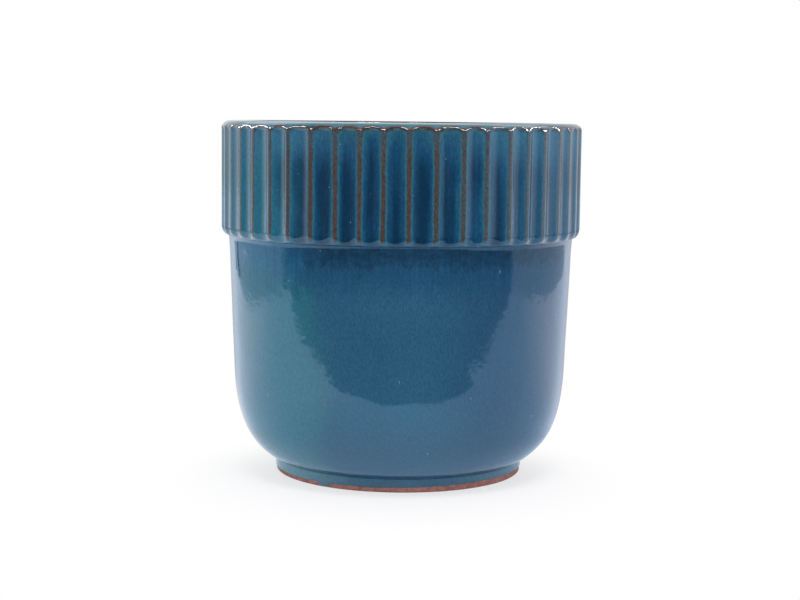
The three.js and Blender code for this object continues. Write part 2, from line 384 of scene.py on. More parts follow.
class FluteCutter:
    """Cuts flutes with arched tops into a turned collar, and notes how thick the glaze lies."""

    bunching = 0.45  # how much the columns crowd towards the ridges
    column_slack = 1e-4  # keeps the column on a ridge in one flute, as a share of the pitch
    softness = 0.42  # of the edge between flute and ridge
    arch_power = 3.4  # more makes an arch squarer
    scoop_power = 2.4  # more makes the hollow under an arch steeper
    roll = 0.34  # how softly an arch's edge is rounded
    edge_width = 0.0006  # of the bead along an arch
    bead_ends = (0.36, 0.5)  # across a flute, where the bead fades
    slope = math.radians(25)  # where the ridges meet the lip's rounding
    corner_softness = 0.12  # of the ridges' corner under that slope
    wiggle = 0.018  # how far a ridge strays from upright, as a share of the pitch
    wiggles_round = 9.0  # how often it strays, for each radian and for each metre of height
    wiggles_up = 45.0
    ridge_stray = 0.05  # how far a ridge may stand off even spacing, as a share of the pitch
    depth_shares = (0.88, 1.08)  # least and most depth of a flute
    arch_stray = 0.00016  # how far an arch may stand higher or lower
    # Ridges at the front that stand off even spacing, as shares of the pitch
    front_shifts = {3: 0.05, 5: 0.06, 6: 0.11, 7: 0.06, 8: -0.03, 9: -0.06, 13: 0.05, 14: -0.04, 15: -0.08}
    # How thick the glaze lies, where 1 is the full pool
    top_film = 0.2  # close under an arch
    side_film = 0.42  # on the sides of a flute
    base_film = 0.62  # round the collar's lower edge
    first_pool = 0.12  # share of the pool that lies close under an arch
    # Where it goes from one of these to the next
    ridge_reach = 0.065  # from a flute's edge inwards, as a share of the pitch
    top_reach = (0.0006, 0.0034)  # under an arch
    pool_reach = 0.022  # under an arch
    pool_power = 1.4  # more makes the pool narrower
    lip_reach = (0.0002, 0.0007)  # above an arch
    base_reach = (0.55, 0.95)  # round the lower edge, where 1 is upright
    line_width = 0.00078  # half the width of the broken line along an arch
    line_strength = 0.95

    def __init__(self, sizes, flutes):
        self.sizes = sizes
        self.flutes = flutes
        self.pitch = FULL_TURN / flutes.flute_count
        ridge_share = flutes.ridge_width / (self.pitch * flutes.ridge_radius)
        self.half_flute = (1 - ridge_share) / 2
        self.level_edge = level_edge(flutes)
        self.plain_top = self.level_edge - BELOW_ARCH[0] * MILLIMETRE
        count = flutes.flute_count
        draw = random.Random(count)
        shifts = [draw.uniform(-self.ridge_stray, self.ridge_stray) for _ in range(count)]
        self.ridge_shift = [self.front_shifts.get(ridge, shift) for ridge, shift in enumerate(shifts)]
        self.flute_scale = [draw.uniform(*self.depth_shares) for _ in range(count)]
        self.arch_shift = [draw.uniform(-self.arch_stray, self.arch_stray) for _ in range(count)]

    def cut(self, mesh):
        """Moves every vertex of the collar to its place on the fluted form."""
        thickness = mesh.verts.layers.float.new("glaze_depth")
        side = mesh.verts.layers.int["side"]
        turn = Matrix.Rotation(self.flutes.first_ridge, 3, "Z")
        for vert in mesh.verts:
            if vert[side] == PLAIN:
                vert.co = turn @ vert.co
                continue
            flute, across = self.place_round(vert.co)
            shown = vert[side] == SHOWN
            vert.co, vert[thickness] = self.cut_point(flute, across, vert.co.z, shown)

    def place_round(self, point):
        """Which flute a point is in, and how far across it from -0.5 to 0.5."""
        angle = math.atan2(point.y, point.x)
        turns = (angle / self.pitch + self.column_slack) % self.flutes.flute_count
        flute = int(turns)
        across = turns - self.column_slack - flute - 0.5
        return flute, across + self.bunching * math.sin(FULL_TURN * across) / FULL_TURN

    def arch_edge(self, flute, across):
        """Height of the edge that ends a flute."""
        fall = self.flutes.arch_rise * abs(2 * across) ** self.arch_power
        shift = self.arch_shift[flute] * (1 - abs(2 * across))
        angle = self.flutes.first_ridge + (flute + 0.5 + across) * self.pitch
        shift += self.flutes.arch_tilt * math.cos(angle)
        return self.flutes.collar_top - self.flutes.arch_drop - fall + shift

    def lift(self, height, edge):
        """Moves a height of the plain outline so that its rows follow the arch's edge."""
        if height > self.level_edge:
            share = (height - self.level_edge) / (self.flutes.lip_seam - self.level_edge)
            return blend(edge, self.flutes.lip_seam, share)
        if height > self.plain_top:
            share = (height - self.plain_top) / (self.level_edge - self.plain_top)
            return blend(self.plain_top, edge, share)
        return height

    def ridge_radius(self, height, depth):
        """Radius over the ridges, and how far round its lower edge the collar is, at a height."""
        flutes = self.flutes
        over_centre = max(0.0, height - lip_centre(self.sizes, flutes)[1])
        if over_centre:
            return flutes.ridge_radius - self.top_fall(over_centre) - depth, 1.0
        risen = min(max((height - flutes.collar_base - depth) / (flutes.round_height - depth), 0.0), 1.0)
        rounding = math.sqrt(1 - (1 - risen) ** 2)
        return blend(self.sizes.body_radius, flutes.ridge_radius - depth, rounding), rounding

    def top_fall(self, over_centre):
        """How far the ridges fall back at a height over the lip's centre. They stand upright, then slope,
        then follow the lip's rounding."""
        flutes = self.flutes
        slope_end = flutes.lip_round * math.sin(self.slope)
        if over_centre > slope_end:
            return flutes.lip_round - math.sqrt(flutes.lip_round**2 - over_centre**2)
        share = (over_centre - flutes.ridge_corner) / (slope_end - flutes.ridge_corner)
        share = min(soft_floor(share, self.corner_softness), 1.0)
        return flutes.lip_round * (1 - math.cos(self.slope)) * share

    def cut_point(self, flute, across, height, shown):
        """A vertex's place on the fluted form, and the thickness of the glaze there."""
        flutes = self.flutes
        edge = self.arch_edge(flute, across)
        height = self.lift(height, edge)
        under_edge = edge - height
        radius, rounding = self.ridge_radius(height, 0.0 if shown else EDGE_COAT)
        hollow = soft_floor(1 - (across / self.half_flute) ** 2, self.softness)
        scoop = self.scoop(under_edge, flutes.lip_seam - edge)
        depth = flutes.flute_depth * self.flute_scale[flute] * hollow * scoop * rounding
        if shown:
            crest = math.exp(-((under_edge / self.edge_width) ** 2))
            radius += flutes.bead * crest * (1 - smooth_step(*self.bead_ends, abs(across)))
        else:
            depth *= 1 + (POOL_COAT - EDGE_COAT) / flutes.flute_depth
        next_ridge = (flute + 1) % flutes.flute_count
        shift = blend(self.ridge_shift[flute], self.ridge_shift[next_ridge], 0.5 + across)
        angle = flutes.first_ridge + (flute + 0.5 + across + shift) * self.pitch
        angle += self.stray(angle, height) * self.pitch
        radius -= depth
        place = Vector((radius * math.cos(angle), radius * math.sin(angle), height))
        return place, self.thickness(across, hollow, scoop, rounding, under_edge)

    def scoop(self, under_edge, above_edge):
        """How much of its depth a flute has at a distance under its arch's rounded edge."""
        reach = soft_floor(under_edge / self.flutes.scoop_height, self.roll)
        left = 1 - min(max(-under_edge / above_edge, 0.0), 1.0)
        return (1 - (1 - min(reach, 1.0)) ** self.scoop_power) * left

    def stray(self, angle, height):
        """How far the form strays sideways at a place, as a share of the pitch."""
        place = Vector((math.cos(angle), math.sin(angle), 0.0)) * self.wiggles_round
        place.z = height * self.wiggles_up
        return self.wiggle * noise.noise(place)

    def thickness(self, across, hollow, scoop, rounding, under_edge):
        """How thick the glaze lies: 0 on a ridge, 1 pooled in the middle of a flute."""
        on_ridge = smooth_step(self.half_flute - self.ridge_reach, 0.5, abs(across))
        on_line = math.exp(-((under_edge / self.line_width) ** 4))
        pool = scoop * blend(self.first_pool, 1.0, smooth_step(0.0, self.pool_reach, under_edge))
        pool *= min(hollow, 1.0) ** self.pool_power
        least = blend(self.top_film, self.side_film, smooth_step(*self.top_reach, under_edge))
        lying = (least + (1 - self.side_film) * pool) * (1 - on_ridge)
        lying = blend(lying, LIP_GLAZE, smooth_step(*self.lip_reach, -under_edge))
        lying *= 1 - self.line_strength * on_line
        return max(lying, self.base_film * (1 - smooth_step(*self.base_reach, rounding)))


def add_piece(mesh, name, node, material):
    """Makes a mesh one of the pot's pieces, in place of a node of the frame."""
    for face in mesh.faces:
        face.smooth = True
    for edge in mesh.edges:
        edge.smooth = edge.calc_face_angle(0.0) < SHARP_ANGLE
    piece = add_object(mesh, name, material)
    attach(piece, "root")
    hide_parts(node)


def add_object(mesh, name, material):
    """Puts a finished mesh into the scene."""
    data = bpy.data.meshes.new(name)
    mesh.to_mesh(data)
    mesh.free()
    data.materials.append(material)
    added = bpy.data.objects.new(name, data)
    bpy.context.scene.collection.objects.link(added)
    return added


# Finishes


class Nodes:
    """A tree of shader nodes, with short calls that add nodes and link them."""

    def __init__(self, tree):
        self.tree = tree

    def add(self, kind, sockets=None, **settings):
        """Adds a node, with its settings and its inputs' values or links."""
        node = self.tree.nodes.new(kind)
        for name, value in settings.items():
            setattr(node, name, value)
        for name, value in (sockets or {}).items():
            self.feed(node.inputs[name], value)
        return node

    def feed(self, socket, value):
        """Links a socket to another node's output, or sets its plain value."""
        if isinstance(value, bpy.types.NodeSocket):
            self.tree.links.new(value, socket)
        elif hasattr(value, "__len__") and len(value) == 3 and socket.type == "RGBA":
            socket.default_value = (*value, 1.0)
        else:
            socket.default_value = value

    def parts(self, vector):
        """The three values that a vector or a colour has."""
        return self.add("ShaderNodeSeparateXYZ", {"Vector": vector}).outputs

    def maths(self, operation, first, second=0.0, third=0.0, clamp=False):
        """One sum on two or three values."""
        node = self.add("ShaderNodeMath", operation=operation, use_clamp=clamp)
        for socket, value in zip(node.inputs, (first, second, third)):
            self.feed(socket, value)
        return node.outputs[0]

    def plus(self, value, *others):
        """The sum of some values."""
        for other in others:
            value = self.maths("ADD", value, other)
        return value

    def times(self, value, *others):
        """The product of some values."""
        for other in others:
            value = self.maths("MULTIPLY", value, other)
        return value

    def rest(self, share):
        """What a share leaves of 1."""
        return self.maths("SUBTRACT", 1.0, share)

    def rise(self, value, start, end, low_end=0.0, high_end=1.0):
        """A soft rise from the low end to the high end as the value goes from start to end."""
        sockets = {"Value": value, "From Min": start, "From Max": end}
        sockets |= {"To Min": low_end, "To Max": high_end}
        return self.add("ShaderNodeMapRange", sockets, interpolation_type="SMOOTHSTEP").outputs[0]

    def mix(self, share, first, second):
        """A mix of two colours."""
        node = self.add("ShaderNodeMix", data_type="RGBA")
        for index, value in ((0, share), (6, first), (7, second)):
            self.feed(node.inputs[index], value)
        return node.outputs[2]

    def laid_over(self, hue, *layers):
        """A colour with others laid over it, each with its share."""
        for share, layer in layers:
            hue = self.mix(share, hue, layer)
        return hue

    def ramp(self, value, stops):
        """Colours along a value from 0 to 1."""
        node = self.add("ShaderNodeValToRGB", {"Fac": value})
        elements = node.color_ramp.elements
        while len(elements) < len(stops):
            elements.new(0.5)
        for element, (position, hue) in zip(elements, stops):
            element.position = position
            element.color = (*hue, 1.0)
        return node.outputs[0]

    def shade(self, hue, value):
        """A colour made brighter or darker by a value about 1."""
        return self.add("ShaderNodeHueSaturation", {"Color": hue, "Value": value}).outputs[0]

    def bump(self, height, distance, under=None):
        """Bumps of a height given as a share of a distance, on top of others."""
        node = self.add("ShaderNodeBump", {"Height": height, "Distance": distance, "Strength": 1.0})
        if under:
            self.feed(node.inputs["Normal"], under)
        return node.outputs[0]

    def glow(self, hue, strength=1.0):
        """A shader that gives off light of one colour."""
        return self.add("ShaderNodeEmission", {"Color": hue, "Strength": strength}).outputs[0]


class Finish(Nodes):
    """One procedural material, whose patterns follow the places on a piece."""

    speck_core = 0.4  # share of a speck's size that has its full colour

    def __init__(self, name):
        self.material = bpy.data.materials.new(name)
        self.material.use_nodes = True
        super().__init__(self.material.node_tree)
        self.shader = self.tree.nodes["Principled BSDF"]
        self.place = self.add("ShaderNodeTexCoord").outputs["Object"]
        self.across, self.along, self.height = self.parts(self.place)

    def scaled(self, scale, shift=0.0):
        """The place at a scale, which is one number or one along each axis, and shifted."""
        sizes = scale if hasattr(scale, "__len__") else (scale, scale, scale)
        sockets = {"Vector": self.place, "Scale": sizes, "Location": (shift, shift, shift)}
        return self.add("ShaderNodeMapping", sockets).outputs[0]

    def patches(self, scale, detail=2.0, shift=0.0):
        """Soft noise from 0 to 1. The scale is in patches per metre."""
        sockets = {"Vector": self.scaled(scale, shift), "Scale": 1.0, "Detail": detail}
        return self.add("ShaderNodeTexNoise", sockets).outputs[0]

    def sway(self, scale, detail, shift, span, start=None):
        """Soft noise over a span of values, which is about 0 or begins at a start."""
        lowest = -span / 2 if start is None else start
        return self.maths("MULTIPLY_ADD", self.patches(scale, detail, shift), span, lowest)

    def specks(self, scale, size, share):
        """Small specks: 1 in a speck, 0 elsewhere. Only a share of the places has one."""
        sockets = {"Vector": self.scaled(scale), "Scale": 1.0, "Randomness": 1.0}
        texture = self.add("ShaderNodeTexVoronoi", sockets).outputs
        near = self.rise(texture["Distance"], size, size * self.speck_core)
        chance = self.parts(texture["Color"])[0]
        return self.times(near, self.maths("LESS_THAN", chance, share))

    def belt(self, lower_edge, upper_edge):
        """1 in a belt of heights, with soft edges. Each edge is given from its outside to its inside."""
        return self.times(self.rise(self.height, *lower_edge), self.rise(self.height, *upper_edge))

    def solid(self, hue, roughness, normal):
        """The finished material of a piece."""
        for name, value in (("Base Color", hue), ("Roughness", roughness), ("Normal", normal)):
            self.feed(self.shader.inputs[name], value)
        return self.material

    def surface(self, shader):
        """The finished material of a thing in the studio, with another shader."""
        self.tree.nodes.remove(self.shader)
        self.feed(self.tree.nodes["Material Output"].inputs["Surface"], shader)
        return self.material


GLAZE_IOR = 1.6
CLAY_GLOSS = 0.1  # specular level of bare clay
WAVE_HEIGHT = 0.00006  # of the glaze's slight waves
RIPPLE_HEIGHT = 0.000005  # of the finer ripples on them
GRAIN_HEIGHT = 0.00008  # of the clay's grain
GLOSSIEST = 0.045  # least roughness of the glaze on the body, the collar and the lip
HAIRLINE_ANGLE = math.radians(-156.5)  # from the X axis


def greener_side(finish, start=-0.030, end=-0.056):
    """How far a place lies on the pot's greener left side, with a clouded edge between places in X."""
    return finish.rise(finish.plus(finish.across, finish.sway(26, 3.0, 3.1, 0.036)), start, end)


def glaze_skin(finish, hue, smoothest=0.07, grain_depth=0.16):
    """The grain, gloss and slight waviness that every glaze on the pot has."""
    grain = finish.patches((1500, 1500, 650), 2.0, 1.7)
    value = finish.rise(grain, 0.25, 0.75, 1 - grain_depth, 1 + grain_depth)
    roughness = finish.rise(finish.patches(70, 2.0, 5.3), 0.3, 0.7, smoothest, 2 * smoothest)
    waves = finish.bump(finish.patches(240, 2.0, 9.4), WAVE_HEIGHT)
    ripples = finish.bump(finish.patches(900, 1.0, 2.2), RIPPLE_HEIGHT, waves)
    finish.shader.inputs["IOR"].default_value = GLAZE_IOR
    return finish.solid(finish.shade(hue, value), roughness, ripples)


def breaking_glaze(name, colours):
    """Glaze that is cobalt where it pools, pale where it is thin, and broken to clay on the edges. On the
    pot's left and right sides its flutes are painted lighter and its ridges carry a painted reflection.
    """
    finish = Finish(name)
    lying = finish.add("ShaderNodeAttribute", attribute_name="glaze_depth").outputs["Fac"]
    clouds = finish.sway((45, 45, 22), 2.0, 8.3, 0.9, -0.5)
    streaks = finish.sway((480, 480, 14), 2.0, 3.7, 0.7)
    pooled = finish.times(finish.plus(clouds, streaks), finish.rise(lying, 0.4, 0.9))
    blotches = finish.sway((1100, 1100, 420), 4.0, 0.0, 0.30, -0.145)
    veils = finish.sway((330, 330, 80), 2.0, 6.1, 0.26)
    lying = finish.maths("ADD", lying, finish.plus(pooled, blotches, veils), clamp=True)
    stops = (
        (0.0, colours.broken),
        (0.07, colours.broken),
        (0.17, colours.veiled),
        (0.33, colours.fringe),
        (0.60, colours.channel),
        (0.95, colours.pool),
    )
    covered = finish.rise(lying, 0.2, 0.4)
    # On the ridges at the pot's left and right sides the film is a painted reflection, paler and greyer;
    # the belt at the ridges' tops is a real film of glaze
    right = finish.rise(finish.across, 0.005, 0.045)
    left = finish.rise(finish.across, -0.04, -0.065, 0.0, 0.6)
    ridge_tops = finish.belt((0.158, 0.167), (0.1722, 0.1712))
    film = finish.maths("MAXIMUM", finish.plus(right, left), ridge_tops)
    # Painted light: the flutes on the pot's left and right sides are painted lighter, teal on the left and
    # blue on the right, where more light falls; on the left this adds to the glaze's greener side
    green = finish.times(greener_side(finish, -0.040, -0.058), covered, 0.85)
    blue = finish.times(finish.rise(finish.across, 0.040, 0.068, 0.0, 0.4), covered)
    sides = finish.rise(finish.maths("ABSOLUTE", finish.across), 0.012, 0.062, 0.0, 0.75)
    flute_tops = finish.times(finish.belt((0.150, 0.170), (0.1738, 0.1724)), covered, sides)
    hue = finish.laid_over(
        finish.ramp(lying, stops),
        (finish.times(film, 0.7, finish.rest(covered)), colours.film),
        (green, colours.collar_teal),
        (blue, colours.body_light),
        (flute_tops, colours.collar_light),
    )
    grit = finish.rise(finish.patches((1300, 1300, 900), 1.0, 4.9), 0.3, 0.7, 0.8, 1.18)
    hue = finish.mix(covered, finish.shade(hue, grit), hue)
    hue = finish.mix(finish.specks(210, 0.08, 0.25), hue, colours.speck)
    return glaze_skin(finish, hue, GLOSSIEST)


def body_finish(colours):
    """The body's clouded blue glaze, with a navy band under the collar that is partly runs of glaze and
    partly painted shade.
    """
    finish = Finish("body_glaze_finish")
    clouds = finish.mix(finish.patches(30, 4.0), colours.body_blue, colours.body_light)
    right = finish.rise(finish.across, 0.005, 0.05, 0.0, 0.75)
    side = greener_side(finish)
    green = finish.rise(finish.patches((30, 30, 14), 3.0, 5.8), 0.35, 0.65, 0.2, 1.9)
    runs = finish.sway((230, 230, 110), 6.0, 4.4, 0.016)
    grains = finish.sway((900, 900, 600), 1.0, 2.6, 0.008)
    band_height = finish.plus(finish.height, runs, grains)
    gathered = finish.rise(finish.patches(24, 2.0, 7.7), 0.3, 0.5, 0.5, 1.0)
    gathered = finish.times(gathered, finish.rise(finish.across, -0.067, -0.057, 0.25, 1.0))
    deep = finish.times(finish.rise(band_height, 0.0910, 0.1065), gathered, 0.7)
    mottles = finish.rise(finish.patches((170, 170, 420), 4.0, 1.3), 0.38, 0.6, 0.6, 1.0)
    # The navy band: runs of glaze, and painted shade under the collar
    band = finish.times(finish.rise(band_height, 0.1068, 0.1128), gathered, mottles)
    upper = finish.times(finish.rise(finish.height, 0.098, 0.114, 0.0, 0.6), side)
    hue = finish.laid_over(
        clouds,
        (right, colours.body_violet),
        (side, colours.body_teal),
        (finish.times(side, finish.rest(side), green), colours.body_green),
        (deep, colours.deep_blue),
        (band, colours.navy),
        (finish.specks((160, 160, 60), 0.07, 0.5), colours.speck),
        (upper, colours.upper_blue),
    )
    streaks = finish.rise(finish.patches((800, 800, 16), 3.0, 2.9), 0.3, 0.7, 0.9, 1.1)
    hue = finish.mix(finish.rise(finish.height, 0.085, 0.112), hue, finish.shade(hue, streaks))
    hue = finish.mix(hairline(finish), hue, colours.navy)
    return glaze_skin(finish, hue, GLOSSIEST)


def hairline(finish):
    """A dark run as fine as a hair, on the left under the collar."""
    angle = finish.maths("ARCTAN2", finish.along, finish.across)
    wander = finish.sway(160, 1.0, 0.6, 0.012)
    away = finish.maths("ABSOLUTE", finish.plus(angle, wander, -HAIRLINE_ANGLE))
    return finish.times(finish.rise(away, 0.012, 0.005), finish.rise(finish.height, 0.1030, 0.1060))


def plain_glaze(name, main, other, colours, paler=()):
    """A clouded glaze of two colours, for the foot and the inside. Between places in X it may carry a paler
    painted reflection.
    """
    finish = Finish(name)
    hue = finish.mix(finish.patches(60, 3.0, 6.6), main, other)
    # Lays the painted reflection over the glaze between places in X
    for start, end, share in paler:
        hue = finish.mix(finish.rise(finish.across, start, end, 0.0, share), hue, colours.foot_painted_reflection)
    hue = finish.mix(finish.specks(150, 0.05, 0.3), hue, colours.speck)
    return glaze_skin(finish, hue)


def clay_finish(colours):
    """Bare fired clay, matt and grainy. The clay pieces share it, so it is made once."""
    name = "bare_clay_finish"
    if name in bpy.data.materials:
        return bpy.data.materials[name]
    finish = Finish(name)
    mottle = finish.patches(500, 4.0)
    hue = finish.mix(finish.rise(mottle, 0.35, 0.7), colours.clay, colours.clay_dark)
    hue = finish.mix(finish.specks(900, 0.25, 0.3), hue, colours.clay_dark)
    roughness = finish.rise(mottle, 0.3, 0.7, 0.7, 0.9)
    finish.shader.inputs["Specular IOR Level"].default_value = CLAY_GLOSS
    return finish.solid(hue, roughness, finish.bump(finish.patches(1800, 3.0), GRAIN_HEIGHT))


# Operators: the pot's pieces


class PotOperator:
    """What the operators share: the pot's sizes and colours."""

    bl_options = {"REGISTER", "UNDO"}

    def execute(self, context):
        scene = context.scene
        self.build(scene.pot_sizes, scene.pot_flutes, scene.pot_colours)
        return {"FINISHED"}


class POT_OT_foot(PotOperator, bpy.types.Operator):
    """Turn the foot ring that the pot stands on, with its bare edge, and the base disc inside it"""

    bl_idname = "pot.foot"
    bl_label = "Foot and Base"
    edge_round = 0.0007  # of the ring's two standing edges
    turning_lines = 56  # lines under the disc, of which every second one is a groove
    groove_depth = 0.00016
    groove_fade = 0.9  # share of the disc's radius where the grooves begin to fade

    def build(self, sizes, flutes, colours):
        clay = clay_finish(colours)
        outer = sizes.foot_radius - BODY_COAT - BOND_GAP
        inner = sizes.foot_radius - sizes.foot_width
        edge = self.edge_round
        ring = arc((inner + edge, edge), edge, math.pi, math.pi + QUARTER_TURN, 4)
        ring += arc((outer - edge, edge), edge, -QUARTER_TURN, 0.0, 4)
        ring += straight(ring[-1], (outer, sizes.foot_height), 6)
        ring += [(inner, sizes.foot_height)]
        add_piece(turned(ring), "foot_ring_clay", "foot_ring", clay)
        self.base_disc(sizes, clay)

    def base_disc(self, sizes, clay):
        """The base disc, with the rings that turning leaves on its underside."""
        underside = [(0.0, sizes.foot_height)]
        for line in range(1, self.turning_lines + 1):
            share = line / self.turning_lines
            cut = self.groove_depth * (line % 2) * smooth_step(1.0, self.groove_fade, share)
            underside.append((sizes.disc_radius * share, sizes.foot_height + cut))
        rim = [(sizes.disc_radius, sizes.floor_height), (0.0, sizes.floor_height)]
        mesh = turned(underside + rim, closed=False, steps=4)
        add_piece(mesh, "base_disc_clay", "base_disc", clay)


class POT_OT_wall(PotOperator, bpy.types.Operator):
    """Throw the clay wall, the fluted clay band of the collar and the clay lip, under their glaze"""

    bl_idname = "pot.wall"
    bl_label = "Clay Wall"

    def build(self, sizes, flutes, colours):
        clay = clay_finish(colours)
        coat = BODY_COAT + BOND_GAP
        outside = under_body(sizes, flutes, coat)
        outside.append((outside[-1][0], flutes.collar_top))
        inside = behind_hollow(sizes, flutes, coat)
        foot_radius = sizes.disc_radius + SLIP_GAP
        wall = [(foot_radius, sizes.foot_height)] + outside + inside[:0:-1]
        wall.append((foot_radius, sizes.floor_height))
        add_piece(turned(wall), "body_wall_clay", "body_wall", clay)
        self.collar_band(sizes, flutes, clay)
        under_lip = lip_line(sizes, flutes, EDGE_COAT + BOND_GAP, 6)
        lip = turned(under_lip, sectors=flutes.flute_count)
        dip_lip(lip, sizes, flutes)
        add_piece(lip, "rim_lip_clay", "rim_lip", clay)

    def collar_band(self, sizes, flutes, clay):
        """The fluted band of clay, just under the inner side of its glaze."""
        back = sizes.body_radius - BODY_COAT - BOND_GAP + SLIP_GAP
        face = collar_line(sizes, flutes, EDGE_COAT, round_steps=6, wall_steps=4)
        band = face + [(back, flutes.collar_top), (back, face[0][1])]
        mesh = turned(band, plain=2, sectors=flutes.flute_count, steps=10)
        FluteCutter(sizes, flutes).cut(mesh)
        side = mesh.verts.layers.int["side"]
        for vert in mesh.verts:
            if vert[side] != PLAIN:
                vert.co.xy *= 1 - BOND_GAP / flutes.ridge_radius
        add_piece(mesh, "collar_band_clay", "collar_band", clay)


class POT_OT_body_glaze(PotOperator, bpy.types.Operator):
    """Glaze the outside of the body, from the foot up to the collar"""

    bl_idname = "pot.body_glaze"
    bl_label = "Body Glaze"
    press_depth = 0.00028
    press_patch = 0.021  # size of a pressed patch
    press_fade = 0.008  # from the coat's lower and upper edges

    def build(self, sizes, flutes, colours):
        outside = body_line(sizes, flutes)
        inside = under_body(sizes, flutes, BODY_COAT)
        mesh = turned(outside + inside[::-1], shown=len(outside), steps=9)
        self.press_unevenly(mesh, sizes.foot_height, flutes.collar_base)
        add_piece(mesh, "body_glaze_coat", "body_glaze", body_finish(colours))

    def press_unevenly(self, mesh, lowest, highest):
        """Presses the shown side in, in soft patches, as hands and wet clay leave a wall."""
        side = mesh.verts.layers.int["side"]
        for vert in mesh.verts:
            if vert[side] == SHOWN:
                fade = smooth_step(lowest, lowest + self.press_fade, vert.co.z)
                fade *= 1 - smooth_step(highest - self.press_fade, highest, vert.co.z)
                press = 0.5 + 0.5 * noise.noise(vert.co / self.press_patch)
                outwards = Vector((vert.co.x, vert.co.y, 0.0)).normalized()
                vert.co -= outwards * self.press_depth * press * fade


class POT_OT_foot_glaze(PotOperator, bpy.types.Operator):
    """Glaze the side of the foot, with its wavering lower edge, one drip and a painted reflection on its
    sides
    """

    bl_idname = "pot.foot_glaze"
    bl_label = "Foot Glaze"
    edge_roll = BODY_COAT * 0.98  # radius of the coat's rounded lower edge
    waver = 0.0003  # how far the edge wavers, in slow waves and again in quick ones
    waver_scales = (4.0, 15.0)
    drip_angle = math.radians(-124.8)  # from the X axis
    drip_half_width = math.radians(2.6)
    drip_length = 0.0017
    lift_angle = math.radians(-25)  # where the edge stands highest
    edge_lift = 0.0010
    # Where the painted reflection of the pale table lies on the foot's left and right sides
    paler = ((-0.014, -0.056, 1.0), (0.024, 0.056, 0.45))  # from and to in X, and how much

    def build(self, sizes, flutes, colours):
        inner = sizes.foot_radius - BODY_COAT
        lower = arc((inner, sizes.bare_edge + self.edge_roll), self.edge_roll, -QUARTER_TURN, 0.0, 5)
        outside = lower + straight(lower[-1], (sizes.foot_radius, sizes.foot_height), 10)
        mesh = turned(outside + [(inner, sizes.foot_height)], steps=12)
        for vert in mesh.verts:
            share = (sizes.foot_height - vert.co.z) / (sizes.foot_height - sizes.bare_edge)
            vert.co.z -= share**2 * self.sag(vert.co)
        material = plain_glaze(
            "foot_glaze_finish", colours.foot_teal, colours.body_blue, colours, self.paler
        )
        add_piece(mesh, "foot_glaze_coat", "foot_glaze", material)

    def sag(self, point):
        """How far the glaze's edge hangs below its level at a place round the foot."""
        angle = math.atan2(point.y, point.x)
        round_foot = Vector((math.cos(angle), math.sin(angle), 0.0))
        waver = self.waver * sum(noise.noise(round_foot * scale) for scale in self.waver_scales)
        drip = math.exp(-(((angle - self.drip_angle) / self.drip_half_width) ** 4))
        lift = self.edge_lift * max(0.0, math.cos(angle - self.lift_angle))
        return blend(waver, self.drip_length, drip) - lift


class POT_OT_collar_glaze(PotOperator, bpy.types.Operator):
    """Glaze the fluted collar and the lip above it"""

    bl_idname = "pot.collar_glaze"
    bl_label = "Collar and Lip Glaze"
    # On the far side of the rim this bare edge also serves as painted shade: the dark line of the shaded
    # far rim over the near lip
    inner_thinning = 0.9  # how much thinner the glaze is on the lip's inner edge
    inner_reach = 0.0005  # over which it thins there

    def build(self, sizes, flutes, colours):
        rows = {"below": BELOW_ARCH, "above": ABOVE_ARCH}
        outside = collar_line(sizes, flutes, 0.0, round_steps=16, wall_steps=20, **rows)
        inside = collar_line(sizes, flutes, EDGE_COAT, round_steps=5, wall_steps=3)
        outline = outside + inside[::-1]
        collar = turned(outline, shown=len(outside), sectors=flutes.flute_count, steps=20)
        FluteCutter(sizes, flutes).cut(collar)
        material = breaking_glaze("collar_glaze_finish", colours)
        add_piece(collar, "collar_glaze_coat", "collar_glaze", material)
        self.lip(sizes, flutes, colours)

    def lip(self, sizes, flutes, colours):
        """The lip's coat, as thick as the glaze at the top of the collar, and thinner on its inner edge,
        where the bare edge also serves as painted shade of the far rim.
        """
        outline = lip_line(sizes, flutes, 0.0) + lip_line(sizes, flutes, EDGE_COAT, 5)[::-1]
        mesh = turned(outline, sectors=flutes.flute_count, steps=10)
        thickness = mesh.verts.layers.float.new("glaze_depth")
        for vert in mesh.verts:
            inside = sizes.mouth_radius + flutes.lip_inner_round - math.hypot(vert.co.x, vert.co.y)
            thinning = self.inner_thinning * smooth_step(0.0, self.inner_reach, inside)
            vert[thickness] = LIP_GLAZE * (1 - thinning)
        turn = Matrix.Rotation(flutes.first_ridge, 3, "Z")
        bmesh.ops.rotate(mesh, verts=mesh.verts, cent=ORIGIN, matrix=turn)
        dip_lip(mesh, sizes, flutes)
        material = breaking_glaze("lip_glaze_finish", colours)
        add_piece(mesh, "lip_glaze_coat", "lip_glaze", material)


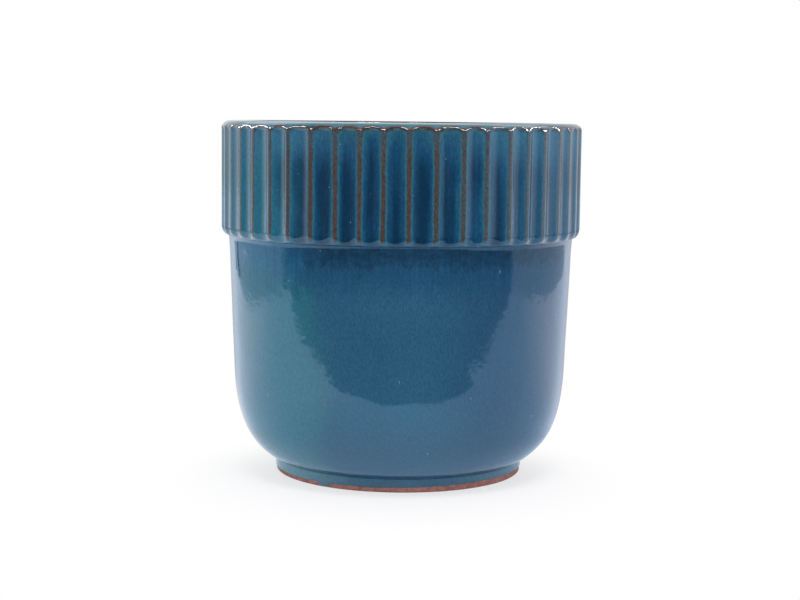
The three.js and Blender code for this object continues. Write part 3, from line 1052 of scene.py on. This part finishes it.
class POT_OT_liner_glaze(PotOperator, bpy.types.Operator):
    """Glaze the inside, with the soft rings that throwing leaves"""

    bl_idname = "pot.liner_glaze"
    bl_label = "Liner Glaze"
    ring_rise = 0.0085  # from one throwing ring to the next
    ring_depth = 0.00018
    floor_fade = (0.02, 0.04)  # heights between which the rings begin
    rim_fade = (0.02, 0.004)  # distances below the collar's top between which they end

    def build(self, sizes, flutes, colours):
        floor = sizes.floor_height
        middle = (0.0, floor + BODY_COAT)
        wall = hollow_line(sizes, flutes)
        inside = [middle] + straight(middle, wall[0], 14)[:-1] + wall
        back = behind_hollow(sizes, flutes, BODY_COAT)
        outline = inside + back[::-1] + [(back[0][0], floor), (0.0, floor)]
        mesh = turned(outline, closed=False, shown=len(inside))
        self.throw_rings(mesh, sizes, flutes)
        material = plain_glaze("liner_glaze_finish", colours.liner_blue, colours.body_teal, colours)
        add_piece(mesh, "liner_glaze_coat", "liner_glaze", material)

    def throw_rings(self, mesh, sizes, flutes):
        """Presses soft rings into the shown wall, fading out at the rim and the floor."""
        side = mesh.verts.layers.int["side"]
        rim_fade = [flutes.collar_top - distance for distance in self.rim_fade]
        for vert in mesh.verts:
            radius = math.hypot(vert.co.x, vert.co.y)
            if vert[side] == SHOWN and radius > sizes.disc_radius:
                turn = math.atan2(vert.co.y, vert.co.x)
                ring = 0.5 + 0.5 * math.sin(FULL_TURN * vert.co.z / self.ring_rise + turn)
                fade = smooth_step(*self.floor_fade, vert.co.z) * (1 - smooth_step(*rim_fade, vert.co.z))
                vert.co.xy *= 1 - self.ring_depth * ring * fade / radius


# Operator: the studio


class POT_OT_studio(bpy.types.Operator):
    """Set the pot on a white table in soft light, before the camera of the photograph"""

    bl_idname = "pot.studio"
    bl_label = "Studio"
    bl_options = {"REGISTER", "UNDO"}
    camera_place = (0.00008, -0.839, 0.178)
    camera_dip = math.radians(6.286)  # below level
    camera_roll = math.radians(0.68)
    lens_length = 74.88  # in millimetres
    sensor_width = 36.0
    softbox_place = (0.05, -0.45, 1.15)
    softbox_size = (0.5, 0.35)
    softbox_energy = 6.5
    softbox_aim = (0.0, 0.0, 0.1)
    room_light = 0.8  # strength of the even light all round
    table_white = (0.828, 0.82, 0.855)
    table_back = 2.5
    # The table's front edge as (x, y). The body shows it as the lower edge of a dark, round reflection.
    front_edge = (
        (-2.5, -0.19),
        (-0.53, -0.19),
        (-0.25, -0.24),
        (-0.06, -0.218),
        (0.15, -0.21),
        (0.215, -0.216),
        (0.225, -0.26),
        (0.30, -0.232),
        (0.40, -0.225),
        (0.50, -0.199),
        (2.5, -0.203),
    )
    shadow_middle = (0.0, -0.03, 0.0)
    shadow_reach = (0.05, 0.125)  # from that middle, between which the pot's shadow fades
    shadow_white = 0.66  # how much pure white the camera sees even in the shadow
    # The table's colours in the gloss, with painted light and shade: brighter on the left than on the
    # right, bluer in front, and a painted shadow of the pot farther behind it. Where there are two, they
    # are on the left and on the right
    mirrored_close = ((1.2, 1.02, 0.98), (0.72, 0.72, 0.84))  # straight behind the pot
    # A painted shadow of the pot on the table, in the gloss farther behind it
    mirrored_pot_shadow = (0.48, 0.48, 0.50)  # farther behind
    mirrored_pale = ((1.28, 1.38, 1.60), (1.16, 1.29, 1.52))  # behind, out to the sides
    mirrored_sides = ((0.86, 1.10, 1.38), (0.62, 0.94, 1.28))  # in front, out to the sides
    mirrored_front = (0.62, 1.0, 1.32)  # straight in front
    # Where one of these goes over into the next
    right_change = (-0.1, 0.1)  # in X, from left to right
    far_change = (0.05, 0.35)  # in Y, from close behind to farther behind
    pale_change = (0.04, 0.72)  # in metres sideways for each metre behind, out to the sides
    sides_change = (0.06, 0.18)  # from the middle, in front, out to the sides
    front_change = (0.14, -0.12)  # in Y, from behind to in front
    least_behind = 0.05  # in Y, for the sideways slant
    # The dark room in front of the table, with its walls, and the ledges beside the table
    room_side = 0.72
    room_back = -1.5
    room_front = -0.17
    room_heights = (-0.01, 1.1)
    room_shade = (0.05, 0.055, 0.06)
    wall_end = 0.2
    wall_shade = (0.1, 0.12, 0.15)
    wall_pale = (0.72, 0.9, 1.1)
    ledge_heights = (-0.01, 0.046)
    ledge_shade = (0.06, 0.07, 0.09)
    ledge_pale = (0.55, 0.68, 0.81)
    left_path = ((-room_side, room_back), (-room_side, wall_end))
    right_path = ((room_side, room_back), (room_side, wall_end))
    left_ledge_path = ((-0.63, -0.7), (-0.63, 0.12), (-0.53, 0.32), (-0.59, 0.52), (-0.6, 0.75))
    right_ledge_path = ((0.64, -0.7), (0.64, 0.7))
    back_wall_path = ((0.2, 1.0), (1.3, 1.0))
    back_wall_heights = (0.24, 1.15)
    back_wall_shade = (0.83, 0.765, 0.78)
    # Standing cards: name, path as (x, y), heights, colour, where it fades in Y, and to which colour
    standing_cards = (
        ("left_wall", left_path, room_heights, wall_shade, (-0.25, 0.2), WHITE),
        ("right_wall", right_path, room_heights, wall_shade, (-0.6, -0.12), wall_pale),
        ("left_ledge", left_ledge_path, ledge_heights, ledge_shade, (-0.18, -0.09), ledge_pale),
        ("right_ledge", right_ledge_path, ledge_heights, ledge_shade, (-0.215, -0.165), ledge_pale),
        ("back_wall", back_wall_path, back_wall_heights, back_wall_shade, None, WHITE),
    )
    ceiling_height = 1.2
    ceiling_sides = (-1.2, 1.2)
    ceiling_ends = (0.3, 1.6)
    ceiling_strength = 2.3
    # The post's lower and upper edge
    post = (
        ((-0.437, 0.383, 0.031), (-0.459, 0.360, 0.031)),
        ((-0.417, 0.402, 0.060), (-0.427, 0.393, 0.060)),
    )
    post_shade = (0.02, 0.03, 0.04)
    # Azimuths and half widths of the low lamps, in degrees from the camera's side
    lamps = ((-100, 17), (-62, 8), (-16, 10), (28, 10), (60, 8), (94, 12))
    lamp_distance = 0.68
    lamp_heights = (0.268, 0.328)
    lamp_strength = 115.0

    def execute(self, context):
        context.scene.view_settings.view_transform = "Standard"
        self.table()
        self.cards()
        self.world(context.scene)
        self.softbox(context.scene)
        self.camera(context.scene)
        return {"FINISHED"}

    def sheet(self, name, points, material):
        """A flat or folded sheet through pairs of points."""
        mesh = bmesh.new()
        rows = [[mesh.verts.new(point) for point in row] for row in points]
        for (a, b), (c, d) in zip(rows, rows[1:]):
            mesh.faces.new((a, b, d, c))
        board = add_object(mesh, name, material)
        return board

    def table(self):
        """The white table. Away from the pot the camera sees pure white, and the gloss a cooler one."""
        finish = Finish("table_finish")
        path = finish.add("ShaderNodeLightPath").outputs
        hue = finish.mix(path["Is Glossy Ray"], WHITE, self.mirrored_table(finish))
        places = {0: finish.place, 1: self.shadow_middle}
        away = finish.add("ShaderNodeVectorMath", places, operation="DISTANCE").outputs["Value"]
        seen = finish.maths("MAXIMUM", path["Is Camera Ray"], path["Is Glossy Ray"])
        share = finish.times(seen, finish.rise(away, *self.shadow_reach, self.shadow_white, 1.0))
        white = finish.add("ShaderNodeBsdfDiffuse", {"Color": self.table_white}).outputs[0]
        both = finish.add("ShaderNodeMixShader", {0: share, 1: white, 2: finish.glow(hue)})
        rows = [((x, y, 0), (x, self.table_back, 0)) for x, y in self.front_edge]
        self.sheet("table", rows, finish.surface(both.outputs[0]))

    def mirrored_table(self, finish):
        """The table's colour in the gloss, as painted light: bluer in front, paler on the left, and dimmer
        straight behind, where it is a painted shadow of the pot.
        """
        aside = finish.maths("ABSOLUTE", finish.across)
        right = finish.rise(finish.across, *self.right_change)
        outside = finish.maths("SUBTRACT", aside, bpy.context.scene.pot_sizes.body_radius)
        slant = finish.maths("DIVIDE", outside, finish.maths("MAXIMUM", finish.along, self.least_behind))
        far = finish.rise(finish.along, *self.far_change)
        # Straight behind the pot, the gloss of the table darkens into the pot's painted shadow
        middle = finish.mix(far, finish.mix(right, *self.mirrored_close), self.mirrored_pot_shadow)
        pale = finish.mix(right, *self.mirrored_pale)
        behind = finish.mix(finish.rise(slant, *self.pale_change), middle, pale)
        beside = finish.mix(right, *self.mirrored_sides)
        in_front = finish.mix(finish.rise(aside, *self.sides_change), self.mirrored_front, beside)
        return finish.mix(finish.rise(finish.along, *self.front_change), behind, in_front)

    def card(self, name, rows, hue, strength=1.0, fade=None, end=WHITE):
        """A card that only the gloss of the glaze shows. It may fade to its end between two places in Y."""
        finish = Finish(name + "_finish")
        if fade:
            hue = finish.mix(finish.rise(finish.along, *fade), hue, end)
        card = self.sheet(name, rows, finish.surface(finish.glow(hue, strength)))
        for ray in ("camera", "diffuse", "shadow", "transmission"):
            setattr(card, "visible_" + ray, False)

    def upright(self, path, heights):
        """Rows of points for a card that stands on a path."""
        return [[(x, y, z) for z in heights] for x, y in path]

    def cards(self):
        """The dark room with its walls and ledges, the bright ceiling, a dimmer wall behind on the right,
        a dark post that the body shows as a hair, and low lamps that the arches' edges catch."""
        sides = (-self.room_side, self.room_side)
        floor, top = self.room_heights
        rows = [[(x, y, floor) for x in sides] for y in (self.room_front, self.room_back)]
        rows.append([(x, self.room_back, top) for x in sides])
        self.card("dark_room", rows, self.room_shade)
        rows = [[(x, y, self.ceiling_height) for x in self.ceiling_sides] for y in self.ceiling_ends]
        self.card("ceiling", rows, WHITE, self.ceiling_strength)
        for name, path, heights, hue, fade, end in self.standing_cards:
            self.card(name, self.upright(path, heights), hue, 1.0, fade, end)
        self.card("slanting_post", self.post, self.post_shade)
        for number, (azimuth, half_width) in enumerate(self.lamps, 1):
            ends = [math.radians(azimuth + half_width * way) for way in (-1, 1)]
            path = [Vector((math.sin(end), -math.cos(end))) * self.lamp_distance for end in ends]
            self.card(f"lamp_{number}", self.upright(path, self.lamp_heights), WHITE, self.lamp_strength)

    def world(self, scene):
        """Even white light all round, and a white background for the camera and in reflections."""
        world = bpy.data.worlds.new("studio_white")
        world.use_nodes = True
        scene.world = world
        nodes = Nodes(world.node_tree)
        path = nodes.add("ShaderNodeLightPath").outputs
        seen = nodes.maths("MAXIMUM", path["Is Camera Ray"], path["Is Glossy Ray"])
        seen = nodes.maths("MAXIMUM", seen, path["Is Transmission Ray"])
        sockets = {"Value": seen, "To Min": self.room_light, "To Max": 1.0}
        strength = nodes.add("ShaderNodeMapRange", sockets).outputs[0]
        background = nodes.tree.nodes["Background"].inputs
        nodes.feed(background["Color"], WHITE)
        nodes.feed(background["Strength"], strength)

    def softbox(self, scene):
        """A soft lamp above the table, turned to the pot."""
        lamp = bpy.data.lights.new("overhead_softbox", "AREA")
        lamp.shape = "RECTANGLE"
        lamp.size, lamp.size_y = self.softbox_size
        lamp.energy = self.softbox_energy
        box = bpy.data.objects.new("overhead_softbox", lamp)
        box.location = self.softbox_place
        facing = Vector(self.softbox_aim) - box.location
        box.rotation_euler = facing.to_track_quat("-Z", "Y").to_euler()
        box.visible_glossy = False
        scene.collection.objects.link(box)

    def camera(self, scene):
        """The camera of the photograph, a little tilted as it was held."""
        lens = bpy.data.cameras.new("photo_camera")
        lens.sensor_width = self.sensor_width
        lens.lens = self.lens_length
        camera = bpy.data.objects.new("photo_camera", lens)
        pitch = Matrix.Rotation(QUARTER_TURN - self.camera_dip, 4, "X")
        roll = Matrix.Rotation(self.camera_roll, 4, "Z")
        camera.matrix_world = Matrix.Translation(self.camera_place) @ pitch @ roll
        scene.collection.objects.link(camera)
        scene.camera = camera


class POT_PT_sidebar(bpy.types.Panel):
    """The pot's sizes and colours, and a button for each of its pieces"""

    bl_idname = "POT_PT_sidebar"
    bl_label = "Fluted Flower Pot"
    bl_space_type = "VIEW_3D"
    bl_region_type = "UI"
    bl_category = "Pot"

    def draw(self, context):
        scene = context.scene
        for operator in OPERATORS:
            self.layout.operator(operator.bl_idname)
        for group in (scene.pot_sizes, scene.pot_flutes, scene.pot_colours):
            column = self.layout.column(align=True)
            for name in group.__annotations__:
                column.prop(group, name)


OPERATORS = (
    POT_OT_foot,
    POT_OT_wall,
    POT_OT_body_glaze,
    POT_OT_foot_glaze,
    POT_OT_collar_glaze,
    POT_OT_liner_glaze,
    POT_OT_studio,
)
CLASSES = (PotSizes, FluteSizes, GlazeColours, *OPERATORS, POT_PT_sidebar)


def register():
    for each in CLASSES:
        bpy.utils.register_class(each)
    bpy.types.Scene.pot_sizes = bpy.props.PointerProperty(type=PotSizes)
    bpy.types.Scene.pot_flutes = bpy.props.PointerProperty(type=FluteSizes)
    bpy.types.Scene.pot_colours = bpy.props.PointerProperty(type=GlazeColours)


def unregister():
    del bpy.types.Scene.pot_colours
    del bpy.types.Scene.pot_flutes
    del bpy.types.Scene.pot_sizes
    for each in reversed(CLASSES):
        bpy.utils.unregister_class(each)


def main():
    """Builds the pot and its studio."""
    register()
    bpy.ops.pot.foot()
    bpy.ops.pot.wall()
    bpy.ops.pot.body_glaze()
    bpy.ops.pot.foot_glaze()
    bpy.ops.pot.collar_glaze()
    bpy.ops.pot.liner_glaze()
    bpy.ops.pot.studio()
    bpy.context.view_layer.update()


if __name__ == "__main__":
    main()
